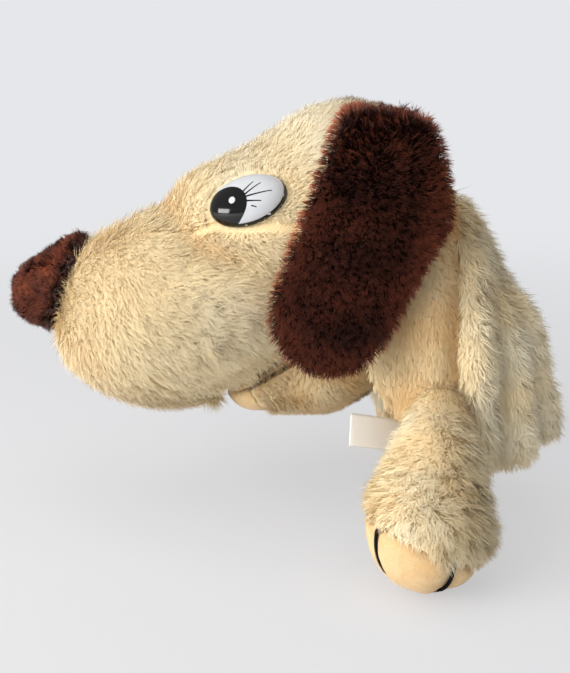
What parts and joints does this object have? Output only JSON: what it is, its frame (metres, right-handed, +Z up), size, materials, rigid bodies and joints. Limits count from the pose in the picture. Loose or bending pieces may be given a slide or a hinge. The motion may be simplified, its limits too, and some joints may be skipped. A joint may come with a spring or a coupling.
{
  "type": "hand puppet",
  "caption": "Plush dog hand puppet with long ears, a jaw the thumb works, a round brown nose, oval plastic eyes, stuffed arms with padded paws and a sleeve the hand goes into.",
  "frame": {"origin": "middle of the sleeve's mouth, where the hand goes in", "axes": "+Z up along the hand, -X towards the nose, -Y towards the dog's left side; symmetric about the XZ plane but for the tag and for the right arm, which hangs further back"},
  "size_m": [0.2287, 0.1991, 0.1732],
  "materials": {
    "cream_plush": "long soft pile, cream with peach roots",
    "brown_plush": "soft pile, dark brown with rust tips",
    "peach_velour": "short velour",
    "pocket_lining": "smooth woven lining",
    "polyester_filling": "loose fibre filling, hidden",
    "eye_plastic": "glossy moulded plastic, white with a printed black pupil and lashes",
    "washer_plastic": "plain moulded plastic, hidden",
    "card_board": "plain fibre board, hidden",
    "black_yarn": "twisted yarn",
    "white_satin": "smooth satin ribbon, left blank"
  },
  "bodies": {
    "sleeve": {"sleeve_front_panel": "cream_plush", "sleeve_back_panel": "cream_plush", "hem_band": "cream_plush", "care_tag": "white_satin"},
    "head": {"head_left_panel": "cream_plush", "head_right_panel": "cream_plush", "head_crown_strip": "cream_plush", "head_stuffing": "polyester_filling", "finger_pocket": "pocket_lining", "palate_board": "card_board", "palate_lining": "peach_velour", "nose_cover": "brown_plush", "nose_stuffing": "polyester_filling", "left_eye": "eye_plastic", "right_eye": "eye_plastic", "left_eye_washer": "washer_plastic", "right_eye_washer": "washer_plastic"},
    "jaw": {"jaw_cover": "cream_plush", "jaw_board": "card_board", "jaw_lining": "peach_velour"},
    "left_ear": {"left_ear_face": "brown_plush", "left_ear_back": "brown_plush"},
    "left_arm": {"left_arm_cover": "cream_plush", "left_arm_stuffing": "polyester_filling", "left_paw_pad": "peach_velour", "left_toe_stitches": "black_yarn"},
    "right_ear": {"right_ear_face": "brown_plush", "right_ear_back": "brown_plush"},
    "right_arm": {"right_arm_cover": "cream_plush", "right_arm_stuffing": "polyester_filling", "right_paw_pad": "peach_velour", "right_toe_stitches": "black_yarn"}
  },
  "joints": [
    {"name": "head_nod", "type": "hinge", "parent": "sleeve", "child": "head", "pos_m": [-0.058, 0, 0.097], "axis": [0, 1, 0], "range_deg": [-5, 20]},
    {"name": "jaw_open", "type": "hinge", "parent": "head", "child": "jaw", "pos_m": [-0.04931, 0, 0.0578], "axis": [0, -1, 0], "range_deg": [-2, 24]},
    {"name": "left_ear_lift", "type": "hinge", "parent": "head", "child": "left_ear", "pos_m": [-0.058, -0.017, 0.13845], "axis": [-1, 0, 0], "range_deg": [0, 70]},
    {"name": "right_ear_lift", "type": "hinge", "parent": "head", "child": "right_ear", "pos_m": [-0.058, 0.017, 0.13845], "axis": [1, 0, 0], "range_deg": [0, 70]},
    {"name": "left_arm_lift", "type": "hinge", "parent": "sleeve", "child": "left_arm", "pos_m": [-0.022, -0.05, 0.024], "axis": [-1, 0, 0], "range_deg": [0, 60]},
    {"name": "right_arm_lift", "type": "hinge", "parent": "sleeve", "child": "right_arm", "pos_m": [-0.022, 0.05, 0.024], "axis": [1, 0, 0], "range_deg": [0, 60]}
  ]
}
